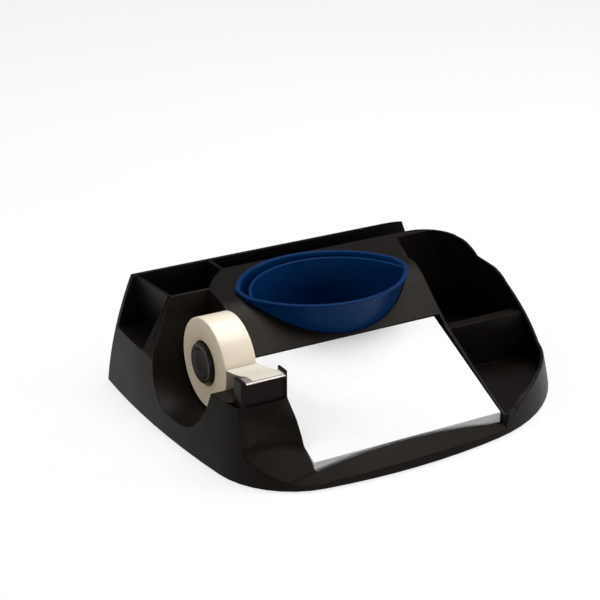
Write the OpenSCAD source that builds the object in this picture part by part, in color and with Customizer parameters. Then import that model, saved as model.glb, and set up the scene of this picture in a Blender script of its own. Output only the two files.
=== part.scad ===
// Desk organizer in one moulding, with a tape dispenser, a pen cup, a memo bed and a two-section tray.
// Millimetres, +X to the right, +Y to the rear, +Z up. The origin is the centre of the footprint, on the desk.

/* [Body] */
// Width of the body at the desk
body_width = 238; // [230:1:250]
// Depth of the body at the desk
body_depth = 182; // [178:1:190]
// Height of the deck and of the rear rims
body_height = 64; // [62:0.5:70]
// Thickness of the moulded walls
wall = 2.4; // [1.8:0.1:2.8]
// How far each side wall has leaned in at the height of the deck
side_lean = 17.6; // [12:0.2:20]
// How far the front wall would have leaned in at the height of the deck
front_lean = 12.8; // [10:0.2:15]
// Gap between the desk and the lower edge of the walls
edge_gap = 0.8; // [0.4:0.1:1.4]

/* [Deck] */
// Distance of the deck's rear edge from the body's rear
deck_setback = 18.5; // [15:0.5:22]
// How far behind the centre the deck starts to turn down
deck_turn_y = 29.8; // [26:0.2:33]
// Radius of that turn
deck_turn_radius = 36.6; // [30:0.2:42]
// Slope of the deck in front of the cup, in degrees
deck_slope = 35; // [32:0.5:37]
// How far in front of the centre the slope eases
rim_ease_y = 17.2; // [14:0.2:20]
// Slope of the rims further to the front, in degrees
rim_slope = 24.4; // [23:0.2:26]

/* [Letter slot] */
// Place of the slot's left end, from the centre to the left
slot_left = 48.5; // [46:0.5:50]
// Height of the slot's floor
slot_floor = 3.4; // [3.2:0.2:8]
// Radius of the corner where the deck turns into the right side
slot_corner_radius = 22; // [16:1:28]

/* [Rear-left bin] */
// Depth of the bin, front to rear, outside its walls
bin_depth = 43.3; // [40:0.1:46]
// Height of the bin's floor
bin_floor = 4.6; // [4:0.2:12]
// Place of the top of the bin's left wall at the rear, from the centre to the left
bin_left = 98.3; // [94:0.1:99]
// Turn of that wall away from front to rear, in degrees
bin_turn = 4.9; // [2:0.1:7]
// Draft of that wall, in degrees
bin_draft = 9.5; // [5:0.5:12]
// Radius of the deck's rounded edge along the bin
bin_arc_radius = 72; // [68:1:76]

/* [Side scoop] */
// Height of the scoop's lower edge
scoop_floor = 34.5; // [30:0.5:40]
// Width of the fin between the scoop and the rear face
scoop_fin = 4; // [3:0.5:8]
// Slope of the cross wall's free edge above the scoop, in degrees from the vertical
scoop_slope = 31; // [25:1:36]

/* [Tape bay] */
// Place of the bay's right wall, from the centre to the left
bay_wall = 75.6; // [75:0.1:76.5]
// Lowest point of the bay
bay_floor = 12.8; // [11:0.2:13.2]
// Radius of the bay's rear curve
bay_rear_radius = 32; // [30:0.5:34]
// Radius of the bay's front curve
bay_front_radius = 22; // [20:0.5:24]
// Distance between the centres of the two curves, front to rear
bay_length = 9.5; // [8:0.5:12]
// Place of the rear curve's centre, behind the body's centre
bay_centre_y = 5.2; // [4:0.2:7]
// Height of the ledge between the bay and the cutter post
ledge_height = 38.2; // [36:0.2:40]

/* [Tape] */
// Width of the tape
tape_width = 19; // [15:0.5:19]
// Outer radius of the wound tape
tape_radius = 25.7; // [22:0.1:25.9]
// Inner radius of the core
core_bore = 12.9; // [12.5:0.1:13.5]
// Thickness of the core
core_wall = 1.6; // [1:0.1:3]
// Thickness of the drawn strip of tape
lead_thickness = 0.4; // [0.3:0.1:0.8]
// Height at which the strip leaves the roll, above the roll's axis
lead_rise = 6; // [3:0.5:9]

/* [Tape hub] */
// Radius of the hub
hub_radius = 11.4; // [10:0.1:11.8]
// How far the hub stands out of the roll on the left
hub_reach = 2.6; // [1:0.1:4]
// Height of the hub's axis
hub_height = 40.3; // [40.3:0.1:42]
// Radius of the stub axle moulded on the bay's wall
axle_radius = 4; // [3:0.1:5]
// Running clearance of the hub on the axle
axle_clearance = 0.08; // [0.04:0.01:0.1]

/* [Cutter] */
// Left end of the cutter post, from the centre to the left
post_left = 102; // [101.5:0.1:103]
// Front face of the post, in front of the body's centre
post_front = 50.2; // [49.5:0.1:51]
// Thickness of the post, front to rear
post_depth = 8.5; // [7.5:0.1:10]
// Height of the post between its cheeks
post_height = 51; // [48:0.2:53]
// Thickness of the cheek at the post's left end
cheek_width = 2.6; // [2:0.1:3]
// Height of the left cheek above the post
cheek_rise = 1.6; // [1:0.1:3]
// Thickness of the cutter's metal
blade_thickness = 0.6; // [0.4:0.1:1]
// Number of teeth on the cutter
blade_teeth = 17; // [11:1:23]
// Depth of the teeth
tooth_depth = 1.3; // [0.8:0.1:2]

/* [Memo sheets] */
// Width of a sheet
memo_width = 119; // [112:0.5:120]
// Distance of the sheets' front edge from the bed's front wall
memo_front_gap = 2.9; // [2:0.1:6]
// Thickness of the stack
memo_stack = 5.5; // [3:0.1:6]
// Slope of the bed, in degrees
memo_slope = 25.9; // [24.5:0.1:26.5]
// Rear edge of the stack, in front of the body's centre
memo_rear = 9.9; // [9.5:0.1:11]
// Gap between the stack and the walls of its bed
memo_gap = 0.3; // [0.2:0.1:0.6]

/* [Pen cup] */
// Radius of the two arcs that make the cup's front and rear
cup_radius = 58; // [56:0.5:60]
// How far each of those arcs' centres lies from the cup's middle
cup_offset = 16.5; // [15:0.5:19]
// Radius that rounds the cup's two tips
cup_tip_radius = 53.5; // [51:0.5:54]
// Cup's middle, to the left of the body's centre
cup_left = 7.5; // [6:0.1:9]
// Cup's middle, behind the body's centre
cup_back = 27.3; // [26:0.1:28.5]
// Height of the rim above the deck
cup_rise = 2; // [1.6:0.1:4]
// Slope of the cup's front wall, in degrees from the vertical
cup_front_taper = 15; // [12:0.5:16]
// Slope of the cup's rear wall, in degrees from the vertical
cup_rear_taper = 1; // [0.5:0.5:4]
// Slope of the cup's tips, in degrees from the vertical
cup_tip_taper = 8; // [4:0.5:12]
// Height of the cup's underside above the desk
cup_base = 6.2; // [5:0.2:12]
// Width of the rim over the deck
cup_lip = 1; // [0.6:0.1:1.4]
// Gap between the cup and its well
cup_clearance = 0.35; // [0.3:0.05:0.5]
// Thickness of the cup's walls
cup_wall = 1.8; // [1.4:0.1:2.2]
// Radius of the rear face of the curved divider
divider_radius = 52; // [50:0.5:56]
// Centre of the divider's curve, in front of the cup's middle
divider_back = 19.5; // [18:0.5:22]

/* [Right tray] */
// Place of the tray's left wall at the front, from the centre to the right
tray_front_left = 46.8; // [46.2:0.1:49]
// Place of the tray's left wall at the centre
tray_mid_left = 51; // [50:0.1:53]
// Radius of the curve of that wall behind the centre
tray_curve_radius = 177; // [160:1:200]
// Thickness of the tray's rims
rim_wall = 2; // [1.6:0.1:2.6]
// Thickness of the wall behind the tray
tray_back_wall = 6; // [4:0.1:7]
// Height of the rear section's floor
rear_floor = 13; // [8:0.5:16]
// Height of the front section's floor
front_floor = 5.4; // [4:0.2:8]
// Rear face of the divider, in front of the body's centre
tray_divider_y = 2.2; // [1:0.2:4]
// Thickness of the divider
tray_divider = 7.6; // [5:0.2:9]
// Height of the divider
tray_divider_height = 33.6; // [30:0.2:36]

/* [Right rim] */
// Where the rear shoulder starts to fall, behind the body's centre
shoulder_y = 44.8; // [42:0.2:46]
// Radius of the rear shoulder
shoulder_radius = 15; // [13:0.5:16]
// Height of the rim between the shoulders
rim_mid_height = 55.3; // [53:0.1:57]
// Where the front shoulder starts to fall, behind the body's centre
fall_y = 17; // [15:0.2:19]
// Radius of the front shoulder
fall_radius = 14; // [12:0.5:16]
// Where the rim's fall ends, in front of the body's centre
fall_foot = 25; // [22:0.5:30]
// Height of the rim beside the front section
rim_front_height = 19.5; // [18:0.1:22]
// Height of the rim at the front corner
rim_corner_height = 11.4; // [11:0.1:12.5]

/* [Apron] */
// Height of the crest of the front apron, where it meets the memo bed
apron_crest = 12.6; // [11:0.1:14]
// Place of the crest, from the centre to the left
apron_crest_left = 20; // [16:0.5:26]
// Radius of the apron's arched edge
apron_radius = 330; // [300:1:360]
// Fall of the apron's top from the memo bed to the front, in degrees
apron_tilt = 36; // [25:1:40]
// Width of the rise from the apron to the tray's rim
apron_rise = 7; // [4:0.5:8]
// Distance of the memo bed's front wall from the body's front
apron_depth = 11; // [10.5:0.1:12]

/* [Front-left ramp] */
// How much faster the ramp falls at its left end than along the memo bed
ramp_spread = 1.2; // [0.6:0.1:1.6]
// Depth of the ramp's dish
ramp_dish = 1.5; // [0:0.1:2.5]

/* [Feet] */
// Radius of a rubber foot
foot_radius = 6; // [5:0.1:8]
// Height of a rubber foot
foot_height = 2; // [1.6:0.1:3]

/* [Hidden] */
$fn = 96;

// Reaches past every surface of the body, for cuts.
far = 200;
// Corners of the body at the desk.
rear = body_depth / 2;
front = -rear;
side = body_width / 2;

// Outline of the body at the desk, anticlockwise from the rear left: radius of each arc and the angle where it ends.
outline_start = 175;
outline_arcs = [[633.5, 187.4], [47.8, 261.4], [334, 280.5], [105, 324.6], [72, 357], [900, 361.3], [29, 450]];
// Points along each arc, and heights at which the outline is drawn.
arc_steps = 8;
level_count = 8;
// Share of the lean that grows evenly with the height; the rest grows with its square.
even_lean = 0.4;

// Points of an arc about c, from angle a0 to a1.
function arc(c, r, a0, a1, n = 24) =
    [for (i = [0 : n]) let (a = a0 + (a1 - a0) * i / n) c + r * [cos(a), sin(a)]];

function mix(a, b, t) = a + (b - a) * t;

// Points of the outline's arcs from arc i on, each tangent to the last, moved in by inset.
function outline_from(i, c, a0, inset) =
    i == len(outline_arcs) ? [] :
    let (r = outline_arcs[i][0], a1 = outline_arcs[i][1])
    let (r_next = i + 1 < len(outline_arcs) ? outline_arcs[i + 1][0] : r)
    concat(
        [for (k = [0 : arc_steps]) if (k > 0 || i == 0)
            let (a = mix(a0, a1, k / arc_steps)) c + (r - inset) * [cos(a), sin(a)]],
        outline_from(i + 1, c + (r - r_next) * [cos(a1), sin(a1)], a1, inset)
    );

function outline(inset = 0) = outline_from(0, [0, 0], outline_start, inset);

outline_low = [for (k = [0, 1]) min([for (p = outline()) p[k]])];
outline_high = [for (k = [0, 1]) max([for (p = outline()) p[k]])];

// How far a side wall has leaned in at height z.
function rise(z) = (z - edge_gap) / (body_height - edge_gap);
function lean(z) = side_lean * (even_lean * rise(z) + (1 - even_lean) * max(rise(z), 0) ^ 2);

// The outline's point p, set into the body's width and depth at height z.
function at_height(p, z) = [
    mix(-side + lean(z), side - lean(z), (p.x - outline_low.x) / (outline_high.x - outline_low.x)),
    mix(front + front_lean * rise(z), rear, (p.y - outline_low.y) / (outline_high.y - outline_low.y)),
    z
];

// A solid through a stack of rings of equally many points, anticlockwise and upwards.
module loft(rings) {
    n = len(rings[0]);
    top = (len(rings) - 1) * n;
    walls = [for (k = [0 : len(rings) - 2], i = [0 : n - 1]) let (j = (i + 1) % n)
        each [[k * n + i, (k + 1) * n + i, k * n + j], [k * n + j, (k + 1) * n + i, (k + 1) * n + j]]];
    polyhedron(
        points = [for (ring = rings) each ring],
        faces = concat(walls, [[for (i = [0 : n - 1]) i], [for (i = [n - 1 : -1 : 0]) top + i]])
    );
}

// The body's outer form before anything is cut, moved in by inset, from height low up.
module skin(inset, low) {
    top = body_height + 2;
    points = outline(inset);
    loft([for (k = [0 : level_count]) let (z = mix(low, top, k / level_count)) [for (p = points) at_height(p, z)]]);
}

// A profile drawn in (y, z), extruded from x0 to x1.
module along_x(x0, x1) {
    translate([x0, 0, 0]) rotate([90, 0, 90]) linear_extrude(x1 - x0) children();
}

// A profile drawn in (x, z), extruded from y0 to y1.
module along_y(y0, y1) {
    translate([0, y1, 0]) rotate([90, 0, 0]) linear_extrude(y1 - y0) children();
}

// A profile drawn in (x, y), extruded from z0 to z1.
module along_z(z0, z1) {
    translate([0, 0, z0]) linear_extrude(z1 - z0) children();
}

// Deck: flat, then an arc, then the slope, then the easier slope of the rims.
deck_rear = rear - deck_setback;
turn_centre = [deck_turn_y, body_height - deck_turn_radius];
turn_end = turn_centre + deck_turn_radius * [-sin(deck_slope), cos(deck_slope)];
function slope_height(y) = turn_end.y - (turn_end.x - y) * tan(deck_slope);
ease = [-rim_ease_y, slope_height(-rim_ease_y)];
function rim_height(y) = ease.y - (ease.x - y) * tan(rim_slope);

bed_front = front + apron_depth;

// Under the deck and under the rims on both sides of the memo bed.
module deck_profile() {
    polygon(concat(
        [[far, -far], [far, body_height]],
        arc(turn_centre, deck_turn_radius, 90, 90 + deck_slope),
        [ease, [bed_front, rim_height(bed_front)], [bed_front, -far]]
    ));
}

// The apron: an arched edge along the memo bed, with a top that falls to the front.
apron_centre = [-apron_crest_left, apron_crest - apron_radius];
apron_end = tray_front_left - apron_rise + rim_wall;
function apron_height(x) = apron_centre.y + sqrt(apron_radius * apron_radius - (x - apron_centre.x) ^ 2);
function apron_top(x, y) = apron_height(x) + (y - bed_front) * tan(apron_tilt);
module apron() {
    last = apron_end + apron_rise;
    // Drawn upright as it is in the plane of the bed's front wall, for a top tilted about that plane's foot.
    translate([0, bed_front, 0]) intersection() {
        rotate([apron_tilt, 0, 0]) along_y(-far, far) scale([1, cos(apron_tilt)]) polygon(concat(
            [[-far, -far]],
            [for (x = [-side : 4 : last]) [x, apron_height(x)]],
            [[last, -far]]
        ));
        along_y(-far, lap) square(4 * far, center = true);
    }
}
// Under the S in which the front rises from the apron to the tray's rim.
module rise_profile(split) {
    polygon(concat(
        [[apron_end, -far]],
        [for (t = [0 : 0.125 : 1])
            [apron_end + apron_rise * t, (rim_corner_height - 0.02) * (1 - cos(180 * t)) / 2]],
        [[split, rim_corner_height - 0.02], [split, -far]]
    ));
}

// Under the rim on the right: two rounded shoulders, then the low rim of the front section.
module right_rim_profile() {
    shoulder = [shoulder_y, body_height - shoulder_radius];
    fall = [fall_y, rim_mid_height - fall_radius];
    // The rear shoulder ends where it meets the rim between the two.
    shoulder_end = 180 - asin((rim_mid_height + 1 - shoulder.y) / shoulder_radius);
    polygon(concat(
        [[far, -far], [far, body_height]],
        arc(shoulder, shoulder_radius, 90, shoulder_end),
        arc(fall, fall_radius, 90, 150),
        [[-fall_foot, rim_front_height], [front + 31, rim_front_height]],
        [[front + 18.5, mix(rim_corner_height, rim_front_height, 0.6)], [front + 12.5, rim_corner_height]],
        [[front - lap, rim_corner_height], [front - lap, -far]]
    ));
}

// Under the ledge in front of the bay and under the ground of the post and the ramp.
bay_front_y = bay_centre_y - bay_length - bay_front_radius;
module ledge_profile() {
    polygon([
        [bay_front_y + 1, -far],
        [bay_front_y + 1, ledge_height],
        [bed_front, ledge_height],
        [bed_front, -far]
    ]);
}

bed_left = -bay_wall + 1;
// How far neighbouring forms reach into each other.
lap = 0.5;
// Everything that the tops of the zones allow: left, middle and right, with the apron across the front.
module tops() {
    split = tray_mid_left + 2 * rim_wall;
    translate([-far, bay_front_y + lap, -far]) cube([far - bay_wall - lap, far, far + body_height]);
    along_x(-far, bed_left + lap) ledge_profile();
    along_x(-bay_wall - 2 * lap, split) deck_profile();
    along_x(split - lap, far) right_rim_profile();
    apron();
    along_y(front - far, bed_front + lap) rise_profile(split);
}

// Rear-left bin, grown by g.
bin_front = rear - bin_depth + wall;
module bin_side(shift) {
    translate([-bin_left + shift, rear - wall, body_height])
        rotate([0, 0, bin_turn])
            rotate([0, -bin_draft, 0])
                translate([0, -far, -far])
                    cube([2 * far, 2 * far, 2 * far]);
}
module left_bin(g) {
    intersection() {
        bin_side(rim_wall - g);
        along_z(bin_floor - g, far) difference() {
            translate([-side, bin_front - g])
                square([side - slot_left - wall + g, rear - wall - bin_front + 2 * g]);
            translate([-cup_left + 0.7, cup_back - 13.5]) circle(r = bin_arc_radius - g);
        }
    }
}

// Recess in the left side: a notch in the skin beside the bin, and the slanting end of the cross wall.
module scoop(g) {
    difference() {
        translate([-far, bin_front - 0.5 - g, scoop_floor - g])
            cube([far, rear - scoop_fin - bin_front + 0.5 + 2 * g, far]);
        bin_side(g);
    }
    reach = body_height - scoop_floor;
    edge = -bin_left + bin_depth * tan(bin_turn) + g;
    along_y(bin_front - 12 - g, bin_front + 1) polygon([
        [-far, scoop_floor - g],
        [edge - (reach + g) * tan(scoop_slope), scoop_floor - g],
        [edge, body_height],
        [edge, far],
        [-far, far]
    ]);
}

// Tape bay, open to the left, grown by g.
bay_low = bay_floor;
bay_rear_centre = [bay_centre_y, bay_floor + bay_rear_radius];
bay_front_centre = [bay_centre_y - bay_length, bay_floor + bay_front_radius];
bay_lip = [rear - bin_depth, body_height];
// The bay's straight rear wall is the tangent from the lip to the rear curve.
lip_reach = bay_lip - bay_rear_centre;
tangent_angle = atan2(lip_reach.y, lip_reach.x) - acos(bay_rear_radius / norm(lip_reach));
function tangent_point(g) = bay_rear_centre + (bay_rear_radius + g) * [cos(tangent_angle), sin(tangent_angle)];
module bay_profile(g) {
    translate(bay_rear_centre) circle(r = bay_rear_radius + g);
    translate(bay_front_centre) circle(r = bay_front_radius + g);
    wall_run = [-sin(tangent_angle), cos(tangent_angle)] * 2 * body_height;
    polygon([
        [bay_front_centre.x, bay_low - g],
        [bay_rear_centre.x, bay_low - g],
        tangent_point(g),
        tangent_point(g) + wall_run,
        [bay_front_y - g, far],
        [bay_front_y - g, bay_front_centre.y]
    ]);
}
bay_rear_wall = cup_left + 63;
module tape_bay(g) {
    intersection() {
        along_x(-far, far) bay_profile(g);
        along_z(-far, far) polygon([
            [-far, far],
            [-bay_rear_wall + g, far],
            [-bay_rear_wall + g, bay_lip.x + 2],
            [-bay_wall + g, bay_centre_y + 9],
            [-bay_wall + g, -far],
            [-far, -far]
        ]);
    }
}

// Memo bed, in the plane of the sheets: a point s along the slope from the stack's rear edge and d under its top.
memo_top = [-memo_rear, slope_height(-memo_rear)];
function on_bed(s, d) =
    memo_top - s * [cos(memo_slope), sin(memo_slope)] - d * [-sin(memo_slope), cos(memo_slope)];
memo_length = (-memo_rear - bed_front - memo_front_gap) / cos(memo_slope);
module memo_bed(g) {
    bottom = memo_stack + 0.02 + g;
    intersection() {
        along_x(bed_left - g, far) polygon([
            on_bed(-memo_gap - g, bottom),
            on_bed(-memo_gap - g, -far),
            on_bed(2 * memo_length, -far),
            on_bed(2 * memo_length, bottom)
        ]);
        along_z(-far, far) polygon([
            [-far, far],
            [tray_mid_left - rim_wall + g, 0],
            [tray_front_left - rim_wall + g, bed_front - g],
            [-far, bed_front - g]
        ]);
    }
}

// Well of the cup, and the cup's outer form: two leaning arcs and a third that rounds the tips.
cup_top = body_height + cup_rise;
module cup_form(extra, z0, z1) {
    module cone(radius, shift, taper) {
        function at(z) = radius + extra - (cup_top - z) * tan(taper);
        translate([-cup_left, cup_back + shift, z0]) cylinder(r1 = at(z0), r2 = at(z1), h = z1 - z0);
    }
    intersection() {
        cone(cup_radius, cup_offset, cup_front_taper);
        cone(cup_radius, -cup_offset, cup_rear_taper);
        cone(cup_tip_radius, 0, cup_tip_taper);
    }
}
module cup_well(g) {
    cup_form(cup_clearance + g - cup_lip, cup_base - g, body_height + 12);
}

// Letter slot behind the deck: open on top and to the right, with a rounded corner into the right side.
module front_block(g) {
    loft([for (k = [0 : level_count])
        let (z = mix(-1, body_height + 3, k / level_count))
        let (r = slot_corner_radius)
        let (c = [side - lean(z) - r + 0.2, deck_rear - r])
        [for (p = concat([[-far, -far], [far, -far], [far, c.y]], arc(c, r - g, 0, 90, 10), [[-far, deck_rear - g]]))
            [p.x, p.y, z]]
    ]);
}
module letter_slot(g) {
    difference() {
        translate([-slot_left - g, 1, slot_floor - g]) cube([2 * far, rear - wall + g - 1, body_height]);
        front_block(g);
    }
}

// Tray on the right, behind its curved left wall, with a divider and a raised floor at the rear.
tray_curve_y = -10.7;
tray_curve_x = tray_mid_left + sqrt(tray_curve_radius ^ 2 - tray_curve_y ^ 2);
function tray_left(y) = tray_curve_x - sqrt(tray_curve_radius ^ 2 - (y - tray_curve_y) ^ 2);
tray_rear = deck_rear - tray_back_wall;
tray_front = front + front_lean / 8;
module tray_plan(g) {
    polygon(concat(
        [[far, tray_front - g], [tray_front_left - g, tray_front - g], [tray_front_left - g, bed_front]],
        [for (t = [0 : 0.125 : 1]) let (y = t * tray_rear) [tray_left(y) - g, y]],
        [[tray_left(tray_rear) - g, tray_rear + g], [far, tray_rear + g]]
    ));
}
module right_tray(g) {
    divider_front = -tray_divider_y - tray_divider;
    difference() {
        intersection() {
            skin(rim_wall - g, -1);
            front_block(rim_wall - g);
            along_z(front_floor - g, far) tray_plan(g);
        }
        translate([0, divider_front + g, 0]) cube([far, far, rear_floor - g]);
        translate([0, divider_front + g, 0]) cube([far, tray_divider - 2 * g, tray_divider_height - g]);
    }
}

// Ramp in front of the post, cut out down to a dished surface: the further left, the steeper it falls.
// Its drop along the memo bed, at distances from the post's front.
ramp_curve = [[0, 0.2], [10, 9], [15, 16], [18, 22.5], [24, 30], [44, 50]];
ramp_start = -post_front - 0.2;
// The higher of two heights, rounded over where they are about equal.
function smooth_max(a, b, soft) = (a + b + sqrt((a - b) * (a - b) + soft * soft)) / 2;
function ramp_height(x, d) =
    let (across = min(max(bed_left - x, 0), post_left + bed_left) / (post_left + bed_left))
    let (dish = ramp_dish * sin(180 * across) * min(d / 10, 1))
    let (ramp = ledge_height - lookup(d * (1 + ramp_spread * across ^ 1.3), ramp_curve) - dish)
    smooth_max(ramp, apron_top(x, ramp_start - d) + 0.05, 2);
module ramp_cut(g) {
    step = 2.5;
    reach = 35;
    low = 1.6 * g;
    left_end = -side - 6 * step - g;
    right_end = bed_left + lap + g;
    columns = ceil((right_end - left_end) / step);
    loft([for (i = [0 : columns])
        let (x = mix(left_end, right_end, i / columns))
        concat(
            [for (d = [reach : -step : step]) [x, ramp_start - d, ramp_height(x + g, d) - low]],
            [[x, ramp_start + g, ramp_height(x + g, 0) - low], [x, ramp_start + g, far], [x, ramp_start - reach, far]]
        )
    ]);
}

module pockets(g) {
    left_bin(g);
    tape_bay(g);
    memo_bed(g);
    cup_well(g);
    letter_slot(g);
    right_tray(g);
}
// Cuts in the outside only.
module outside_cuts(g) {
    scoop(g);
    ramp_cut(g);
}

// Underside of the shell: everything more than a wall below the tops and away from the pockets.
module cavity() {
    difference() {
        intersection() {
            skin(wall, -1);
            translate([0, 0, -wall]) tops();
            translate([-far, -far, -far]) cube([2 * far, far + rear - wall, 2 * far]);
        }
        pockets(wall);
        outside_cuts(wall);
    }
}

// Post of the cutter, with a cheek at each end and a recessed front.
post_right = bed_left;
nub_width = 1.3;
module cutter_post() {
    post_rear = -post_front + post_depth;
    recess = 1;
    root = wall / 2;
    translate([-post_left, -post_front + recess, ledge_height - root])
        cube([post_left + post_right + lap, post_depth - recess, post_height - ledge_height + root]);
    translate([-post_left, -post_front, ledge_height - root])
        cube([cheek_width, post_depth, post_height + cheek_rise - ledge_height + root]);
    translate([post_right - nub_width, -post_front, ledge_height - root])
        cube([nub_width + lap, post_depth, post_height + cheek_rise + 1 - ledge_height + root]);
}

// Feet: places of their centres, near the corners of the footprint, and how deep each sits in its boss.
foot_seat = 0.6;
foot_places = [
    [-side + 24, rear - 20],
    [side - 36, rear - wall - foot_radius - 3],
    [side - 26, front + 48],
    [-side + 36, front + 34]
];
module foot_bosses() {
    for (p = foot_places)
        translate([p.x, p.y, foot_height - foot_seat]) cylinder(r = foot_radius + 1.6, h = body_height);
}
module foot_seats() {
    for (p = foot_places)
        translate([p.x, p.y, -1]) cylinder(r = foot_radius + 0.3, h = foot_height + 1);
}

axle_y = bay_centre_y + 1;
axle_end = -bay_wall - tape_width - hub_reach + 3;

// The shell without the axle: walls, floors and rims of one thickness, open underneath.
module shell_form() {
    difference() {
        union() {
            difference() {
                intersection() {
                    skin(0, edge_gap);
                    tops();
                }
                cavity();
            }
            intersection() {
                skin(wall / 2, edge_gap);
                tops();
                foot_bosses();
            }
            cutter_post();
        }
        pockets(0);
        outside_cuts(0);
        foot_seats();
    }
}

module body_shell() {
    color([0.07, 0.07, 0.075]) union() {
        // The lower edge has the footprint's full width and depth.
        resize([body_width, body_depth, 0]) shell_form();
        translate([axle_end, axle_y, hub_height])
            rotate([0, 90, 0])
                cylinder(r = axle_radius, h = -bay_wall - axle_end + wall / 2);
    }
}

// Cutter: a thin plate on the post, toothed along the front.
blade_side = 0.15;
module cutter_blade() {
    x0 = -post_left + cheek_width + blade_side;
    x1 = post_right - nub_width - blade_side;
    y0 = -post_front - 0.4;
    pitch = (x1 - x0) / blade_teeth;
    color([0.8, 0.8, 0.82]) along_z(post_height, post_height + blade_thickness) polygon(concat(
        [[x1, -post_front + post_depth - 1.5], [x0, -post_front + post_depth - 1.5]],
        [for (i = [0 : blade_teeth - 1])
            each [[x0 + i * pitch, y0], [x0 + (i + 0.5) * pitch, y0 - tooth_depth]]],
        [[x1, y0]]
    ));
}

// Roll of tape: it hangs on the hub, so its axis lies a little lower than the hub's.
roll_gap = 0.4;
roll_right = -bay_wall - roll_gap;
roll_drop = core_bore - hub_radius - 1;
roll_height = hub_height - roll_drop;
module ring(outer, inner) {
    translate([roll_right - tape_width, axle_y, roll_height])
        rotate([0, 90, 0])
            rotate_extrude() translate([inner, 0]) square([outer - inner, tape_width]);
}
module tape_core() {
    color([0.86, 0.8, 0.66]) ring(core_bore + core_wall, core_bore);
}
module tape_roll() {
    color([0.93, 0.9, 0.82]) ring(tape_radius, core_bore + core_wall);
}

// Hub: a drum closed by a dished disc on the left, with a blind bore that turns on the stub axle.
module tape_hub() {
    length = tape_width + hub_reach;
    disc = 2.4;
    tube = 1.6;
    bevel = 0.9;
    dish = 1;
    bore = axle_radius + axle_clearance;
    color([0.05, 0.05, 0.055])
        translate([roll_right - length, axle_y, hub_height])
            rotate([0, 90, 0])
                rotate_extrude() polygon([
                    [0, dish],
                    [hub_radius - 3.4, dish],
                    [hub_radius - 2.6, 0],
                    [hub_radius - bevel, 0],
                    [hub_radius, bevel],
                    [hub_radius, length],
                    [hub_radius - tube, length],
                    [hub_radius - tube, disc],
                    [bore + tube, disc],
                    [bore + tube, length],
                    [bore, length],
                    [bore, disc],
                    [0, disc]
                ]);
}

// Free end of the tape, from the roll's front to just past the teeth of the cutter.
module tape_lead() {
    start_angle = 180 - asin(lead_rise / tape_radius);
    gap = 0.35;
    start = [axle_y, roll_height] + (tape_radius + gap) * [cos(start_angle), sin(start_angle)];
    over = [-post_front + post_depth - 1.5, post_height + blade_thickness + 0.12];
    end = [-post_front - tooth_depth - 1, over.y];
    sag = [mix(start.x, over.x, 0.5), mix(start.y, over.y, 0.5) - 0.4];
    thick = [0, lead_thickness];
    color([0.95, 0.93, 0.86]) along_x(roll_right - tape_width, roll_right)
        polygon([start, sag, over, end, end + thick, over + thick, sag + thick, start + [-0.1, lead_thickness]]);
}

// Cup: a bowl in front and a crescent behind it, parted by a curved divider.
module pen_cup() {
    floor_top = cup_base + cup_wall;
    lip = 2.4;
    curve = [-cup_left, cup_back - divider_back];
    color([0.05, 0.13, 0.36]) difference() {
        union() {
            cup_form(-cup_lip, cup_base, cup_top - lip / 2);
            cup_form(0, cup_top - lip + 0.6, cup_top);
        }
        difference() {
            cup_form(-cup_lip - cup_wall, floor_top, cup_top + 1);
            translate([curve.x, curve.y, 0]) difference() {
                cylinder(r = divider_radius, h = cup_top - 1);
                translate([0, 0, -1]) cylinder(r = divider_radius - cup_wall, h = 2 * body_height);
            }
        }
    }
}

// The sheets have slid down the slope against one another, so the stack's ends are upright.
module memo_sheets() {
    upright = memo_stack / cos(memo_slope);
    color([0.96, 0.96, 0.96]) along_x(bed_left + memo_gap, bed_left + memo_gap + memo_width)
        polygon([
            on_bed(0, 0),
            on_bed(0, 0) - [0, upright],
            on_bed(memo_length, 0) - [0, upright],
            on_bed(memo_length, 0)
        ]);
}

module rubber_feet() {
    color([0.12, 0.12, 0.12]) for (p = foot_places)
        translate([p.x, p.y, 0]) cylinder(r = foot_radius, h = foot_height);
}

body_shell();
cutter_blade();
tape_hub();
tape_core();
tape_roll();
tape_lead();
pen_cup();
memo_sheets();
rubber_feet();
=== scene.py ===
"""Desk organizer in black moulded plastic with a tape dispenser, a blue pen cup and a memo stack."""

import math

import bmesh
import bpy
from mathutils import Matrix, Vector
from mathutils.bvhtree import BVHTree


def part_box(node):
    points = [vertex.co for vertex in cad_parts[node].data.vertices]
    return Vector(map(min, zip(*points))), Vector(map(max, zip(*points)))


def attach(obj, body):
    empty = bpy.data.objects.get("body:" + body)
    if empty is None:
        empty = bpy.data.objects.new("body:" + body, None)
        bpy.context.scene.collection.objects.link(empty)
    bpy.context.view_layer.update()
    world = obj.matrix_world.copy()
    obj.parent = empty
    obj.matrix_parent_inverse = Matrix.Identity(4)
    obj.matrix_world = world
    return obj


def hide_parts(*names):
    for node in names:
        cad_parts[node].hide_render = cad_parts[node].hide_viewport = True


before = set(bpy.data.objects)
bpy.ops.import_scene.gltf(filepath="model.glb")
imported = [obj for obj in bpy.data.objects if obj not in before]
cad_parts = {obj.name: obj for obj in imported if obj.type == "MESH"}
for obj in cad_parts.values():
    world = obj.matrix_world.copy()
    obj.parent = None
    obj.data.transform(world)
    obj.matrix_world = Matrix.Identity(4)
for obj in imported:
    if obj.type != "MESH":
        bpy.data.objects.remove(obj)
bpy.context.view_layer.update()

MM = 0.001
scene = bpy.context.scene


# ---------------------------------------------------------------- camera and light


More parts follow.
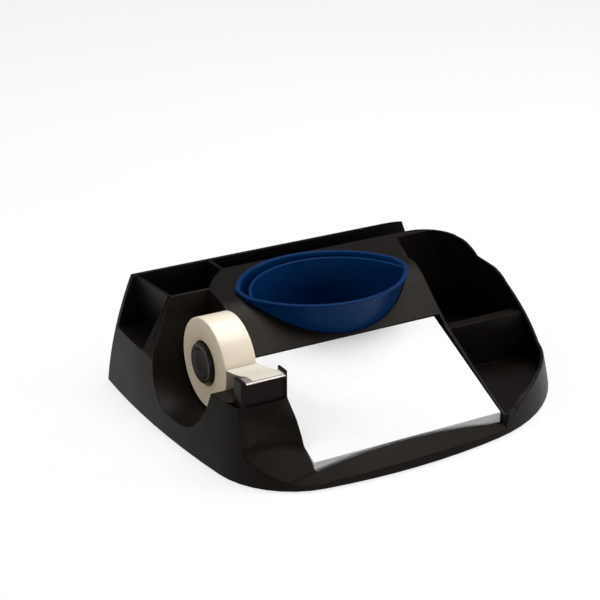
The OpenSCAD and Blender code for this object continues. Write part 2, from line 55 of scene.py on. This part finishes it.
def camera():
    """A long lens from the front left, looking down on the object."""
    data = bpy.data.cameras.new("camera")
    data.lens = 100.2
    data.sensor_width = 36
    data.clip_end = 50
    eye = bpy.data.objects.new("camera", data)
    eye.location = (-0.461, -0.738, 0.420)
    eye.rotation_euler = [math.radians(a) for a in (67.5, 0, -29.8)]
    scene.collection.objects.link(eye)
    scene.camera = eye


def softbox(name, place, target, width, height, power):
    """A white rectangular lamp at place, turned to face target."""
    data = bpy.data.lights.new(name, "AREA")
    data.shape = "RECTANGLE"
    data.size = width
    data.size_y = height
    data.energy = power
    lamp = bpy.data.objects.new(name, data)
    lamp.location = place
    lamp.rotation_euler = (Vector(target) - Vector(place)).to_track_quat("-Z", "Y").to_euler()
    scene.collection.objects.link(lamp)


camera()
softbox("overhead_softbox", (0.4, 0.12, 1.15), (0, 0, 0), 1.2, 0.8, 14)
softbox("left_softbox", (-1.1, 0.25, 0.75), (0, 0, 0.03), 0.5, 0.8, 6)
softbox("right_softbox", (1.2, -0.5, 0.6), (0, 0, 0.03), 0.5, 0.9, 4)
softbox("front_softbox", (-0.15, -1.3, 0.3), (0, -0.05, 0.03), 0.9, 0.3, 4)


# ---------------------------------------------------------------- materials


def linear(code):
    """A six-digit sRGB hex colour as linear RGBA."""
    channels = [int(code[i : i + 2], 16) / 255 for i in (0, 2, 4)]
    return [c / 12.92 if c <= 0.04045 else ((c + 0.055) / 1.055) ** 2.4 for c in channels] + [1]


def add(tree, kind, inputs=(), **settings):
    """Adds a node; each input is given a value, or a socket that it is linked from."""
    made = tree.nodes.new(kind)
    for name, value in settings.items():
        setattr(made, name, value)
    for key, value in dict(inputs).items():
        if isinstance(value, bpy.types.NodeSocket):
            tree.links.new(value, made.inputs[key])
        else:
            made.inputs[key].default_value = value
    return made


def new_material(name):
    """An empty material, its tree and its object coordinates in metres."""
    material = bpy.data.materials.new(name)
    material.use_nodes = True
    tree = material.node_tree
    tree.nodes.clear()
    return material, tree, add(tree, "ShaderNodeTexCoord").outputs["Object"]


def close(tree, shader):
    """Ends a material in shader."""
    add(tree, "ShaderNodeOutputMaterial", {"Surface": shader})


def principled(tree, inputs):
    """Ends a material in one general shader."""
    close(tree, add(tree, "ShaderNodeBsdfPrincipled", inputs).outputs[0])


def noise(tree, place, size, detail, **inputs):
    """A noise whose patches are size metres wide."""
    inputs.update({"Vector": place, "Scale": 1 / size, "Detail": detail})
    return add(tree, "ShaderNodeTexNoise", inputs).outputs["Fac"]


def mixed(tree, factor, first, second):
    """Two linear colours, or sockets that give them, mixed by factor."""
    return add(tree, "ShaderNodeMix", {0: factor, 6: first, 7: second}, data_type="RGBA").outputs[2]


def mottle(tree, place, size, dark, light):
    """Two hex colours mixed by a noise whose patches are size metres wide."""
    return mixed(tree, noise(tree, place, size, 3), linear(dark), linear(light))


def spread(tree, value, start, end, low, high):
    """A value that runs from start to end, mapped to run from low to high."""
    ends = {"From Min": start, "From Max": end, "To Min": low, "To Max": high}
    return add(tree, "ShaderNodeMapRange", {"Value": value, **ends}).outputs[0]


def bumps(tree, height, strength, depth):
    """The normal of a surface whose relief is depth metres."""
    return add(tree, "ShaderNodeBump", {"Height": height, "Strength": strength, "Distance": depth}).outputs[0]


def moulded_plastic(name, dark, light, rough, grain, relief, changes=()):
    """Injection-moulded plastic from an eroded mould: an even fine grain, slightly uneven gloss."""
    material, tree, place = new_material(name)
    normal = bumps(tree, noise(tree, place, grain, 2, Roughness=0.6), 1, relief)
    patches = noise(tree, place, 25 * MM, 3)
    inputs = {
        "Base Color": mottle(tree, place, 6 * MM, dark, light),
        "Roughness": spread(tree, patches, 0.3, 0.7, rough - 0.04, rough + 0.04),
        "Normal": normal,
        "IOR": 1.5,
    }
    inputs.update(changes)
    principled(tree, inputs)
    return material


# Polystyrene moulded in an eroded tool: a matt charcoal black that turns grey where it faces a lamp.
# Its real grain is about 0.2 mm; it is drawn at 0.7 mm, the finest that shows.
shell_plastic = moulded_plastic(
    "moulded_polystyrene_black",
    "0d0a08",
    "130f0c",
    0.42,
    0.7 * MM,
    0.03 * MM,
    {"Specular IOR Level": 0.11, "Specular Tint": linear("fff2e6")},
)

# The hub is moulded in the same black but polished, so it carries a soft highlight.
hub_plastic = moulded_plastic(
    "polished_polystyrene_black", "15130f", "1b1914", 0.34, 1.5 * MM, 0.01 * MM, {"Specular IOR Level": 0.3}
)

# Polypropylene moulded in a deep royal blue with a satin skin.
cup_plastic = moulded_plastic(
    "satin_polypropylene_blue",
    "00264f",
    "012d5b",
    0.34,
    0.8 * MM,
    0.012 * MM,
    {"IOR": 1.49, "Specular IOR Level": 0.14, "Specular Tint": linear("7fb4f0")},
)

# Thermoplastic rubber, matt and slightly dusty.
foot_rubber = moulded_plastic("moulded_rubber_black", "262626", "2e2d2c", 0.85, 0.5 * MM, 0.05 * MM)

# Core of pressed white-grey pulp board, seen as a warm tan ring.
core_board = moulded_plastic("pressed_pulp_board", "d8c5a2", "e2d2b4", 0.8, 0.6 * MM, 0.05 * MM)


def tape_wound_face():
    """Cast acrylic film wound tight: clear layers add up to a warm ivory, glossy on the outside."""
    material, tree, place = new_material("wound_film_ivory")
    # Faint streaks run round the roll where the film's edges show through, about 2.5 mm apart.
    wave = {"Vector": place, "Scale": 1 / (8 * MM), "Distortion": 1.5, "Detail": 3}
    streaks = add(tree, "ShaderNodeTexWave", wave).outputs["Fac"]
    principled(
        tree,
        {
            "Base Color": mottle(tree, place, 9 * MM, "f6e7d0", "faefdd"),
            "Roughness": 0.28,
            "IOR": 1.47,
            "Normal": bumps(tree, streaks, 0.5, 0.03 * MM),
            "Subsurface Weight": 0.25,
            "Subsurface Radius": (2.5 * MM, 2 * MM, 1.4 * MM),
            "Subsurface Scale": 1,
            "Coat Weight": 0.15,
            "Coat Roughness": 0.15,
        },
    )
    return material


def tape_wound_side(axis_y, axis_z):
    """The layers' cut edges and their adhesive: tan rings that darken towards the core."""
    material, tree, place = new_material("wound_film_edges")
    to_axis = {"Vector": place, "Location": (0, -axis_y, -axis_z), "Scale": (0, 1, 1)}
    centred = add(tree, "ShaderNodeMapping", to_axis).outputs[0]
    reach = add(tree, "ShaderNodeVectorMath", {0: centred}, operation="LENGTH").outputs["Value"]
    # The real layers are 0.05 mm thick; the rings are drawn 0.8 mm apart, so that they show.
    rings = noise(tree, add(tree, "ShaderNodeCombineXYZ", {"X": reach}).outputs[0], 0.8 * MM, 3)
    outwards = spread(tree, reach, 14 * MM, 26 * MM, 0, 1)
    warmth = mixed(tree, outwards, linear("d3bb97"), linear("f1e2c8"))
    principled(
        tree,
        {
            "Base Color": mixed(tree, rings, warmth, linear("f3e6cd")),
            "Roughness": 0.5,
            "IOR": 1.47,
            "Normal": bumps(tree, rings, 0.8, 0.08 * MM),
            "Subsurface Weight": 0.2,
            "Subsurface Radius": (2 * MM, 1.5 * MM, 1 * MM),
            "Subsurface Scale": 1,
        },
    )
    return material


def clear_film():
    """One layer of the matt film: nearly clear, a little milky, with a soft gloss."""
    material, tree, place = new_material("matt_acetate_film")
    wrinkles = noise(tree, place, 5 * MM, 2)
    principled(
        tree,
        {
            "Base Color": mottle(tree, place, 4 * MM, "f4ecdc", "fbf6ea"),
            "Roughness": 0.3,
            "IOR": 1.47,
            "Alpha": 0.62,
            "Normal": bumps(tree, wrinkles, 0.6, 0.15 * MM),
        },
    )
    return material


def rolled_steel():
    """Cold-rolled strip steel, nickel plated: pale, with fine rolling marks along its length."""
    material, tree, place = new_material("plated_strip_steel")
    stretched = add(tree, "ShaderNodeMapping", {"Vector": place, "Scale": (1, 14, 14)}).outputs[0]
    marks = noise(tree, stretched, 6 * MM, 4)
    principled(
        tree,
        {
            "Base Color": mottle(tree, place, 3 * MM, "cfc6c2", "e2dad6"),
            "Metallic": 1,
            "Roughness": spread(tree, marks, 0.3, 0.7, 0.24, 0.42),
            "Normal": bumps(tree, marks, 0.4, 0.02 * MM),
        },
    )
    return material


def writing_paper():
    """Uncoated bright white paper: matt, with a faint fibre cloud."""
    material, tree, place = new_material("uncoated_writing_paper")
    fibres = noise(tree, place, 0.9 * MM, 4)
    principled(
        tree,
        {
            "Base Color": mottle(tree, place, 12 * MM, "f4f4f4", "f8f8f8"),
            "Roughness": 0.8,
            "IOR": 1.45,
            "Normal": bumps(tree, fibres, 0.5, 0.02 * MM),
        },
    )
    return material


# ---------------------------------------------------------------- meshes


def place_mesh(name, mesh, *materials):
    """A piece at the origin from a finished mesh."""
    piece = bpy.data.objects.new(name, mesh)
    scene.collection.objects.link(piece)
    for material in materials:
        mesh.materials.append(material)
    return piece


def finished(bm, name):
    """The mesh that bm holds; bm is freed."""
    mesh = bpy.data.meshes.new(name)
    bm.to_mesh(mesh)
    bm.free()
    return mesh


def shade(mesh, angle=32):
    """Smooth faces, parted at every edge sharper than angle."""
    for face in mesh.polygons:
        face.use_smooth = True
    mesh.set_sharp_from_angle(angle=math.radians(angle))


def thicken(bm, shift):
    """Makes a solid of an open sheet by moving a copy of it by shift."""
    made = bmesh.ops.extrude_face_region(bm, geom=list(bm.faces))
    moved = [v for v in made["geom"] if isinstance(v, bmesh.types.BMVert)]
    bmesh.ops.translate(bm, verts=moved, vec=shift)
    bmesh.ops.recalc_face_normals(bm, faces=bm.faces)


def net(bm, rows):
    """Faces between rows of vertices."""
    for near, far in zip(rows, rows[1:]):
        for j in range(len(near) - 1):
            bm.faces.new((near[j], far[j], far[j + 1], near[j + 1]))


def soften(name, node, width, material, angle=28, segments=2, flats=True):
    """A copy of a CAD node whose sharp edges are rounded, as a mould leaves them."""
    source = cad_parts[node]
    bm = bmesh.new()
    bm.from_mesh(source.data)
    bmesh.ops.remove_doubles(bm, verts=bm.verts, dist=0.02 * MM)
    bmesh.ops.dissolve_degenerate(bm, edges=bm.edges, dist=0.005 * MM)
    if flats:
        bmesh.ops.dissolve_limit(bm, angle_limit=math.radians(0.6), verts=bm.verts, edges=bm.edges)
    whole = bmesh.new()
    whole.from_mesh(source.data)
    surface = BVHTree.FromBMesh(whole)
    whole.free()
    sharp = [e for e in bm.edges if e.is_manifold and e.calc_face_angle() > math.radians(angle)]
    bmesh.ops.bevel(
        bm,
        geom=sharp,
        offset=width,
        offset_type="OFFSET",
        segments=segments,
        profile=0.5,
        affect="EDGES",
        loop_slide=True,
    )
    # Where narrow facets meet, a corner may shoot out: it goes back to the solid's own surface.
    for v in bm.verts:
        near = surface.find_nearest(v.co)
        if near[3] > width * 0.6:
            v.co = near[0]
    mesh = finished(bm, name)
    shade(mesh)
    piece = place_mesh(name, mesh, material)
    if flats:
        piece.modifiers.new("even_shading", "WEIGHTED_NORMAL").keep_sharp = True
    return piece


def rounded(corners, steps=4):
    """A closed outline whose corners (x, r, radius), in mm, are turned into short curves."""
    points = []
    for i, (x, r, radius) in enumerate(corners):
        here = Vector((x, r))
        if radius == 0:
            points.append(here)
            continue
        back = Vector(corners[i - 1][:2]) - here
        ahead = Vector(corners[(i + 1) % len(corners)][:2]) - here
        start = here + back.normalized() * radius
        end = here + ahead.normalized() * radius
        for k in range(steps + 1):
            t = k / steps
            points.append(start * (1 - t) ** 2 + here * 2 * t * (1 - t) + end * t**2)
    return points


def turned(name, axis_y, axis_z, outline, materials, pick=None):
    """A body turned about a line along X from an outline of (x, r) in mm; pick chooses a face's material."""
    segments = 112
    bm = bmesh.new()
    rings = []
    for x, r in outline:
        # A point on the axis is one vertex, so that the end is closed without a hole.
        count = segments if r > 0 else 1
        ring = []
        for k in range(count):
            turn = math.tau * k / count
            spot = Vector((x, axis_y + r * math.cos(turn), axis_z + r * math.sin(turn)))
            ring.append(bm.verts.new(spot * MM))
        rings.append(ring)
    for i, ring in enumerate(rings):
        other = rings[(i + 1) % len(rings)]
        if len(ring) == 1 and len(other) == 1:
            continue
        for k in range(segments):
            a, b = ring[k % len(ring)], ring[(k + 1) % len(ring)]
            c, d = other[(k + 1) % len(other)], other[k % len(other)]
            face = bm.faces.new([v for n, v in enumerate((a, b, c, d)) if v not in (a, b, c, d)[:n]])
            if pick:
                face.material_index = pick(outline[i], outline[(i + 1) % len(outline)])
    bmesh.ops.recalc_face_normals(bm, faces=bm.faces)
    mesh = finished(bm, name)
    shade(mesh, 40)
    return place_mesh(name, mesh, *materials)


# ---------------------------------------------------------------- shell, cup and feet


shell = soften("organizer_shell", "body_shell", 0.45 * MM, shell_plastic)
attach(shell, "shell")
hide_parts("body_shell")

cup = soften("pen_cup_moulding", "pen_cup", 0.5 * MM, cup_plastic, angle=24, segments=3, flats=False)
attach(cup, "cup")
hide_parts("pen_cup")

feet = soften("rubber_foot_pads", "rubber_feet", 0.35 * MM, foot_rubber, segments=3)
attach(feet, "shell")
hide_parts("rubber_feet")


# ---------------------------------------------------------------- roll and hub


# The roll's and the hub's measures, in mm, follow the solids that they replace.
AXLE_Y = 6.2
HUB_Z = 40.3
ROLL_Z = 39.8
ROLL_LEFT = -95
ROLL_RIGHT = -76
ROLL_RADIUS = 25.7
WOUND_BORE = 14.5
CORE_RADIUS = 14.45
CORE_BORE = 12.9
HUB_LEFT = -97.55
HUB_RIGHT = -76.05
HUB_RADIUS = 11.35
HUB_BORE = 9.85
HUB_FLOOR = -95.1
BOSS_RADIUS = 5.7
AXLE_BORE = 4.09


def tube(inner, outer, inner_round, outer_round):
    """The outline of a plain tube as long as the roll is wide."""
    return rounded(
        [
            (ROLL_LEFT, inner, inner_round),
            (ROLL_LEFT, outer, outer_round),
            (ROLL_RIGHT, outer, outer_round),
            (ROLL_RIGHT, inner, inner_round),
        ]
    )


wound = turned(
    "wound_tape",
    AXLE_Y,
    ROLL_Z,
    tube(WOUND_BORE, ROLL_RADIUS, 0.2, 0.7),
    [tape_wound_face(), tape_wound_side(AXLE_Y * MM, ROLL_Z * MM)],
    pick=lambda a, b: 0 if min(a[1], b[1]) > ROLL_RADIUS - 0.4 else 1,
)
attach(wound, "roll")
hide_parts("tape_roll")

core = turned("pulp_board_core", AXLE_Y, ROLL_Z, tube(CORE_BORE, CORE_RADIUS, 0.25, 0.2), [core_board])
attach(core, "roll")
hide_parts("tape_core")

# The hub's drum, its dished cap on the left and the blind bore that turns on the stub axle.
hub = turned(
    "tape_hub_drum",
    AXLE_Y,
    HUB_Z,
    rounded(
        [
            (-96.6, 0, 0),
            (-96.7, 7.6, 0.5),
            (HUB_LEFT, 8.9, 0.4),
            (HUB_LEFT, HUB_RADIUS, 0.9),
            (HUB_RIGHT, HUB_RADIUS, 0.4),
            (HUB_RIGHT, HUB_BORE, 0.3),
            (HUB_FLOOR, HUB_BORE, 0.5),
            (HUB_FLOOR, BOSS_RADIUS, 0.5),
            (HUB_RIGHT, BOSS_RADIUS, 0.3),
            (HUB_RIGHT, AXLE_BORE, 0.3),
            (HUB_FLOOR, AXLE_BORE, 0.3),
            (HUB_FLOOR, 0, 0),
        ]
    ),
    [hub_plastic],
)
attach(hub, "hub")
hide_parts("tape_hub")


# ---------------------------------------------------------------- cutter


def node_tree(name):
    """A Geometry Nodes tree with one geometry in and one out."""
    tree = bpy.data.node_groups.new(name, "GeometryNodeTree")
    tree.interface.new_socket("Geometry", in_out="INPUT", socket_type="NodeSocketGeometry")
    tree.interface.new_socket("Geometry", in_out="OUTPUT", socket_type="NodeSocketGeometry")
    return tree


def socket(tree, name, kind, value):
    """Gives a Geometry Nodes tree a named input and returns the input's identifier."""
    made = tree.interface.new_socket(name, in_out="INPUT", socket_type=kind)
    made.default_value = value
    return made.identifier


def close_geometry(tree, geometry, material):
    """Ends a Geometry Nodes tree in geometry, made of material."""
    dressed = add(tree, "GeometryNodeSetMaterial", {"Geometry": geometry, "Material": material})
    add(tree, "NodeGroupOutput", {"Geometry": dressed.outputs[0]})


def row_of_points(tree, count, first, stride):
    """Points in a row, from first onwards and stride apart."""
    inputs = {"Count": count, "Start Location": first, "Offset": stride}
    return add(tree, "GeometryNodeMeshLine", inputs, mode="OFFSET").outputs[0]


def repeated(tree, points, instance):
    """Real copies of instance on points."""
    copies = add(tree, "GeometryNodeInstanceOnPoints", {"Points": points, "Instance": instance})
    return add(tree, "GeometryNodeRealizeInstances", {"Geometry": copies.outputs[0]}).outputs[0]


def grown(name, base, tree, values, material):
    """The mesh that a Geometry Nodes tree makes from base, with its inputs set by identifier."""
    seed_piece = bpy.data.objects.new(name + "_seed", base)
    scene.collection.objects.link(seed_piece)
    modifier = seed_piece.modifiers.new(name, "NODES")
    modifier.node_group = tree
    for identifier, value in values.items():
        modifier[identifier] = value
    depsgraph = bpy.context.evaluated_depsgraph_get()
    mesh = bpy.data.meshes.new_from_object(seed_piece.evaluated_get(depsgraph))
    bpy.data.objects.remove(seed_piece)
    mesh.name = name
    mesh.materials.clear()
    return place_mesh(name, mesh, material)


BLADE_LEFT = -99.25
BLADE_RIGHT = -76.05
BLADE_EDGE = -50.6
BLADE_BACK = -43.25
BLADE_CORNER = 0.6
BLADE_TEETH = 17
TOOTH_DEPTH = 1.3
BLADE_BASE = 51.0
BLADE_TOP = 51.6


def prism(name, outline, low, high):
    """An upright prism from an outline of (x, y) in mm, between two heights."""
    bm = bmesh.new()
    bm.faces.new([bm.verts.new(Vector((x, y, low)) * MM) for x, y in outline])
    thicken(bm, Vector((0, 0, high - low)) * MM)
    return finished(bm, name)


def cutter(material):
    """The punched strip: a flat plate, and one ground tooth repeated along its front edge."""
    plate = prism(
        "plate",
        [
            (BLADE_LEFT, BLADE_EDGE),
            (BLADE_RIGHT, BLADE_EDGE),
            (BLADE_RIGHT, BLADE_BACK + BLADE_CORNER),
            (BLADE_RIGHT - BLADE_CORNER, BLADE_BACK),
            (BLADE_LEFT + BLADE_CORNER, BLADE_BACK),
            (BLADE_LEFT, BLADE_BACK + BLADE_CORNER),
        ],
        BLADE_BASE,
        BLADE_TOP,
    )
    pitch = (BLADE_RIGHT - BLADE_LEFT) / BLADE_TEETH
    thickness = BLADE_TOP - BLADE_BASE
    tree = node_tree("cutter_teeth")
    values = {
        socket(tree, "Teeth", "NodeSocketInt", BLADE_TEETH): BLADE_TEETH,
        socket(tree, "Pitch", "NodeSocketFloat", pitch * MM): pitch * MM,
        socket(tree, "Depth", "NodeSocketFloat", TOOTH_DEPTH * MM): TOOTH_DEPTH * MM,
        socket(tree, "Thickness", "NodeSocketFloat", thickness * MM): thickness * MM,
    }
    given = add(tree, "NodeGroupInput").outputs
    first = Vector((BLADE_LEFT + pitch / 2, BLADE_EDGE, (BLADE_BASE + BLADE_TOP) / 2)) * MM
    stride = add(tree, "ShaderNodeCombineXYZ", {"X": given["Pitch"]}).outputs[0]
    line = row_of_points(tree, given["Teeth"], first, stride)
    # A tooth is a four-sided pyramid, a unit wide and high: turned square, made thin and laid down.
    pyramid = {"Vertices": 4, "Radius Top": 0.0, "Radius Bottom": 0.7071, "Depth": 1.0}
    cone = add(tree, "GeometryNodeMeshCone", pyramid).outputs["Mesh"]
    size = add(
        tree, "ShaderNodeCombineXYZ", {"X": given["Pitch"], "Y": given["Thickness"], "Z": given["Depth"]}
    ).outputs[0]
    tooth = cone
    for change in (
        {"Rotation": (0, 0, math.radians(45))},
        {"Scale": size},
        {"Rotation": (math.radians(90), 0, 0)},
    ):
        tooth = add(tree, "GeometryNodeTransform", {"Geometry": tooth, **change}).outputs[0]
    joined = add(tree, "GeometryNodeJoinGeometry")
    tree.links.new(given["Geometry"], joined.inputs[0])
    tree.links.new(repeated(tree, line, tooth), joined.inputs[0])
    close_geometry(tree, joined.outputs[0], material)
    return grown("toothed_cutter", plate, tree, values, material)


blade = cutter(rolled_steel())
bevel = blade.modifiers.new("ground_edges", "BEVEL")
bevel.width = 0.08 * MM
bevel.segments = 2
bevel.limit_method = "ANGLE"
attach(blade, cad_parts["cutter_blade"].get("body", "shell"))
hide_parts("cutter_blade")


# ---------------------------------------------------------------- free end of the tape


def film_strip(material):
    """One layer of film from the roll to the cutter: it droops a little and is crowned across its width."""
    rows = 24
    columns = 34
    # The share of the rows that hangs free; the rest lies on the cutter.
    free = 0.75
    sag = 0.9
    crown = 0.35
    tear = 0.45
    side_gap = 0.1
    lift = BLADE_TOP + 0.2
    start = Vector((AXLE_Y - 25.45, ROLL_Z + 6.0))
    over = Vector((-43.4, lift))
    end = Vector((-49.4, lift))
    bm = bmesh.new()
    grid = []
    for i in range(rows + 1):
        t = i / rows
        if t < free:
            k = t / free
            spot = start.lerp(over, k) - Vector((0, sag * math.sin(math.pi * k)))
        else:
            spot = over.lerp(end, (t - free) / (1 - free))
        line = []
        for j in range(columns + 1):
            s = j / columns
            # The torn end follows the cutter's teeth.
            torn = tear * (j % 2) if i == rows else 0
            rise = crown * math.sin(math.pi * s) * math.sin(math.pi * min(t / free, 1))
            x = ROLL_LEFT + side_gap + (ROLL_RIGHT - ROLL_LEFT - 2 * side_gap) * s
            line.append(bm.verts.new(Vector((x, spot.x - torn, spot.y + rise)) * MM))
        grid.append(line)
    net(bm, grid)
    bmesh.ops.recalc_face_normals(bm, faces=bm.faces)
    mesh = finished(bm, "free_film_end")
    shade(mesh, 50)
    piece = place_mesh("free_film_end", mesh, material)
    wall = piece.modifiers.new("film_thickness", "SOLIDIFY")
    wall.thickness = 0.12 * MM
    wall.offset = 0
    return piece


film = film_strip(clear_film())
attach(film, "shell")
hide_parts("tape_lead")


# ---------------------------------------------------------------- memo sheets


def one_sheet(width, run, slope, height):
    """A sheet that lies on the slope, centred on the origin, with upright edges of height."""
    rows = 6
    columns = 8
    bm = bmesh.new()
    grid = []
    for i in range(rows + 1):
        y = (i / rows - 0.5) * run
        line = []
        for j in range(columns + 1):
            line.append(bm.verts.new(((j / columns - 0.5) * width, y, y * math.tan(slope))))
        grid.append(line)
    net(bm, grid)
    thicken(bm, (0, 0, height))
    return finished(bm, "one_sheet")


def memo_stack(material):
    """Loose sheets piled on the sloping bed: each a little out of line with the next, their ends upright."""
    low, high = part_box("memo_sheets")
    slope = math.radians(25.9)
    # The real sheets are 0.1 mm thick; they are drawn three times as thick, so that their edges show.
    sheets = 18
    pile = 5.5 * MM / math.cos(slope)
    trim = 0.3 * MM
    slack = 0.06 * MM
    random_seed = 7
    # A sheet fills this share of its step, so that a fine dark line parts it from the next.
    share = 0.93
    sheet = one_sheet(high[0] - low[0] - trim, high[1] - low[1] - trim, slope, pile / sheets * share)
    tree = node_tree("sheet_pile")
    values = {
        socket(tree, "Sheets", "NodeSocketInt", sheets): sheets,
        socket(tree, "Rise", "NodeSocketFloat", pile / sheets): pile / sheets,
        socket(tree, "Looseness", "NodeSocketFloat", slack): slack,
        socket(tree, "Seed", "NodeSocketInt", random_seed): random_seed,
    }
    given = add(tree, "NodeGroupInput").outputs

    def calculated(operation, first, second):
        return add(tree, "ShaderNodeMath", {0: first, 1: second}, operation=operation).outputs[0]

    def sideways(seed):
        """A random shift of at most the looseness, either way."""
        inputs = {2: -1.0, 3: 1.0, "Seed": seed}
        drawn = add(tree, "FunctionNodeRandomValue", inputs, data_type="FLOAT").outputs[1]
        return calculated("MULTIPLY", drawn, given["Looseness"])

    first = ((low[0] + high[0]) / 2, (low[1] + high[1]) / 2, (low[2] + high[2]) / 2 - pile / 2)
    stride = add(tree, "ShaderNodeCombineXYZ", {"Z": given["Rise"]}).outputs[0]
    line = row_of_points(tree, given["Sheets"], first, stride)
    across = sideways(given["Seed"])
    along = sideways(calculated("ADD", given["Seed"], 5))
    climb = calculated("MULTIPLY", along, math.tan(slope))
    shift = add(tree, "ShaderNodeCombineXYZ", {"X": across, "Y": along, "Z": climb}).outputs[0]
    moved = add(tree, "GeometryNodeSetPosition", {"Geometry": line, "Offset": shift}).outputs[0]
    close_geometry(tree, repeated(tree, moved, given["Geometry"]), material)
    return grown("memo_sheet_pile", sheet, tree, values, material)


sheets = memo_stack(writing_paper())
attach(sheets, "sheets")
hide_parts("memo_sheets")


# ---------------------------------------------------------------- floor and background


def paper_sweep():
    """White paper: the camera and reflections see it evenly lit, with the object's shadow."""
    material, tree, place = new_material("white_paper_sweep")
    path = add(tree, "ShaderNodeLightPath").outputs
    seen = path["Is Camera Ray"]
    for other in ("Is Glossy Ray", "Is Transmission Ray"):
        seen = add(tree, "ShaderNodeMath", {0: seen, 1: path[other]}, operation="MAXIMUM").outputs[0]
    paper = add(tree, "ShaderNodeBsdfDiffuse", {"Color": mottle(tree, place, 200 * MM, "f6f6f6", "fafafa")})
    glow = add(tree, "ShaderNodeEmission", {"Color": linear("ffffff"), "Strength": 1})
    lifted = add(tree, "ShaderNodeMixShader", {0: 0.78, 1: paper.outputs[0], 2: glow.outputs[0]})
    # Light that bounces off the floor on to the object is held back, as a dark table round the sweep would.
    table = add(tree, "ShaderNodeBsdfDiffuse", {"Color": linear("4a4a4a")})
    floor_shader = add(tree, "ShaderNodeMixShader", {0: seen, 1: table.outputs[0], 2: lifted.outputs[0]})
    close(tree, floor_shader.outputs[0])
    return material


def studio():
    """A wide floor of white paper under a faint even fill."""
    bm = bmesh.new()
    bmesh.ops.create_grid(bm, x_segments=8, y_segments=8, size=4)
    place_mesh("floor", finished(bm, "floor"), paper_sweep())

    world = bpy.data.worlds.new("studio_air")
    world.use_nodes = True
    tree = world.node_tree
    tree.nodes.clear()
    fill = add(tree, "ShaderNodeBackground", {"Color": (1, 1, 1, 1), "Strength": 0.12})
    add(tree, "ShaderNodeOutputWorld", {"Surface": fill.outputs[0]})
    scene.world = world


studio()
scene.view_settings.view_transform = "Standard"
